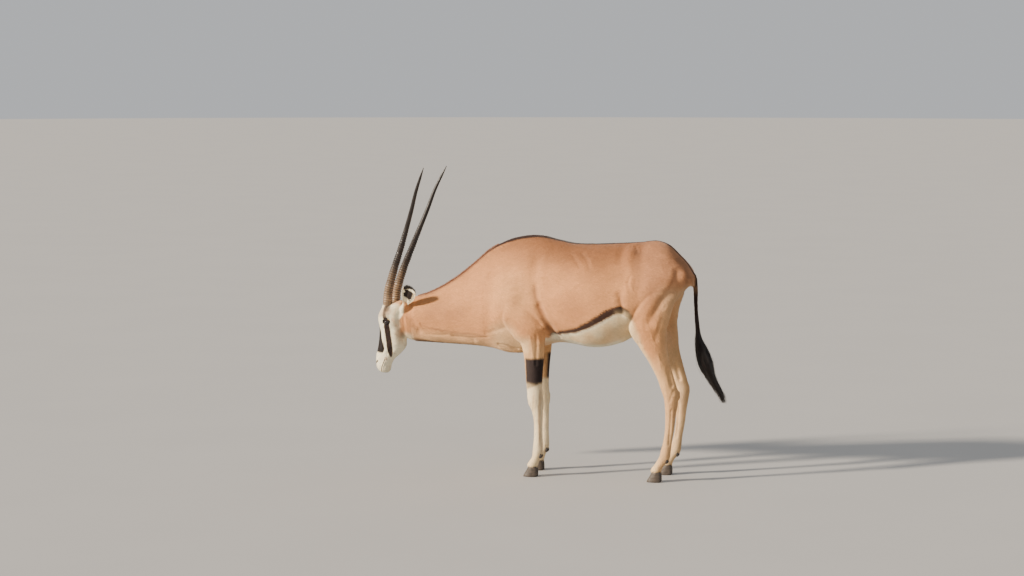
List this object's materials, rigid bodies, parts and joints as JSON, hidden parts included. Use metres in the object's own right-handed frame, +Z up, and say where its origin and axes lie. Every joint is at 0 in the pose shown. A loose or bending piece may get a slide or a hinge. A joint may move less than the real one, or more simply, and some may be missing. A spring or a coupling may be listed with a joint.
{
  "type": "beisa oryx",
  "caption": "Life-size still model of a standing antelope with its neck held low, long ringed horns, a tufted tail and cloven hooves, for display in a scene.",
  "frame": {"origin": "on the floor under the centre of the model's box", "axes": "+Z up, -X towards the head, +X towards the tail, -Y the animal's left side, +Y its right side"},
  "size_m": [1.766, 0.4354, 1.5126],
  "materials": {
    "coat": "short flat fawn fur with black and white markings",
    "horn": "dark ringed horn, smooth towards the tip",
    "hoof": "dull grey brown horn",
    "eye": "wet dark brown",
    "tuft_hair": "long black brown hair",
    "mane_hair": "short red brown standing hair"
  },
  "bodies": {
    "root": {"head": "coat", "neck": "coat", "torso": "coat", "fore_left_leg": "coat", "fore_right_leg": "coat", "hind_left_leg": "coat", "hind_right_leg": "coat", "left_ear": "coat", "right_ear": "coat", "tail_stem": "coat", "fore_left_outer_claw": "hoof", "fore_left_inner_claw": "hoof", "fore_right_outer_claw": "hoof", "fore_right_inner_claw": "hoof", "hind_left_outer_claw": "hoof", "hind_left_inner_claw": "hoof", "hind_right_outer_claw": "hoof", "hind_right_inner_claw": "hoof", "left_horn": "horn", "right_horn": "horn", "left_eye": "eye", "right_eye": "eye", "tail_tuft": "tuft_hair", "nape_mane": "mane_hair"}
  },
  "joints": []
}
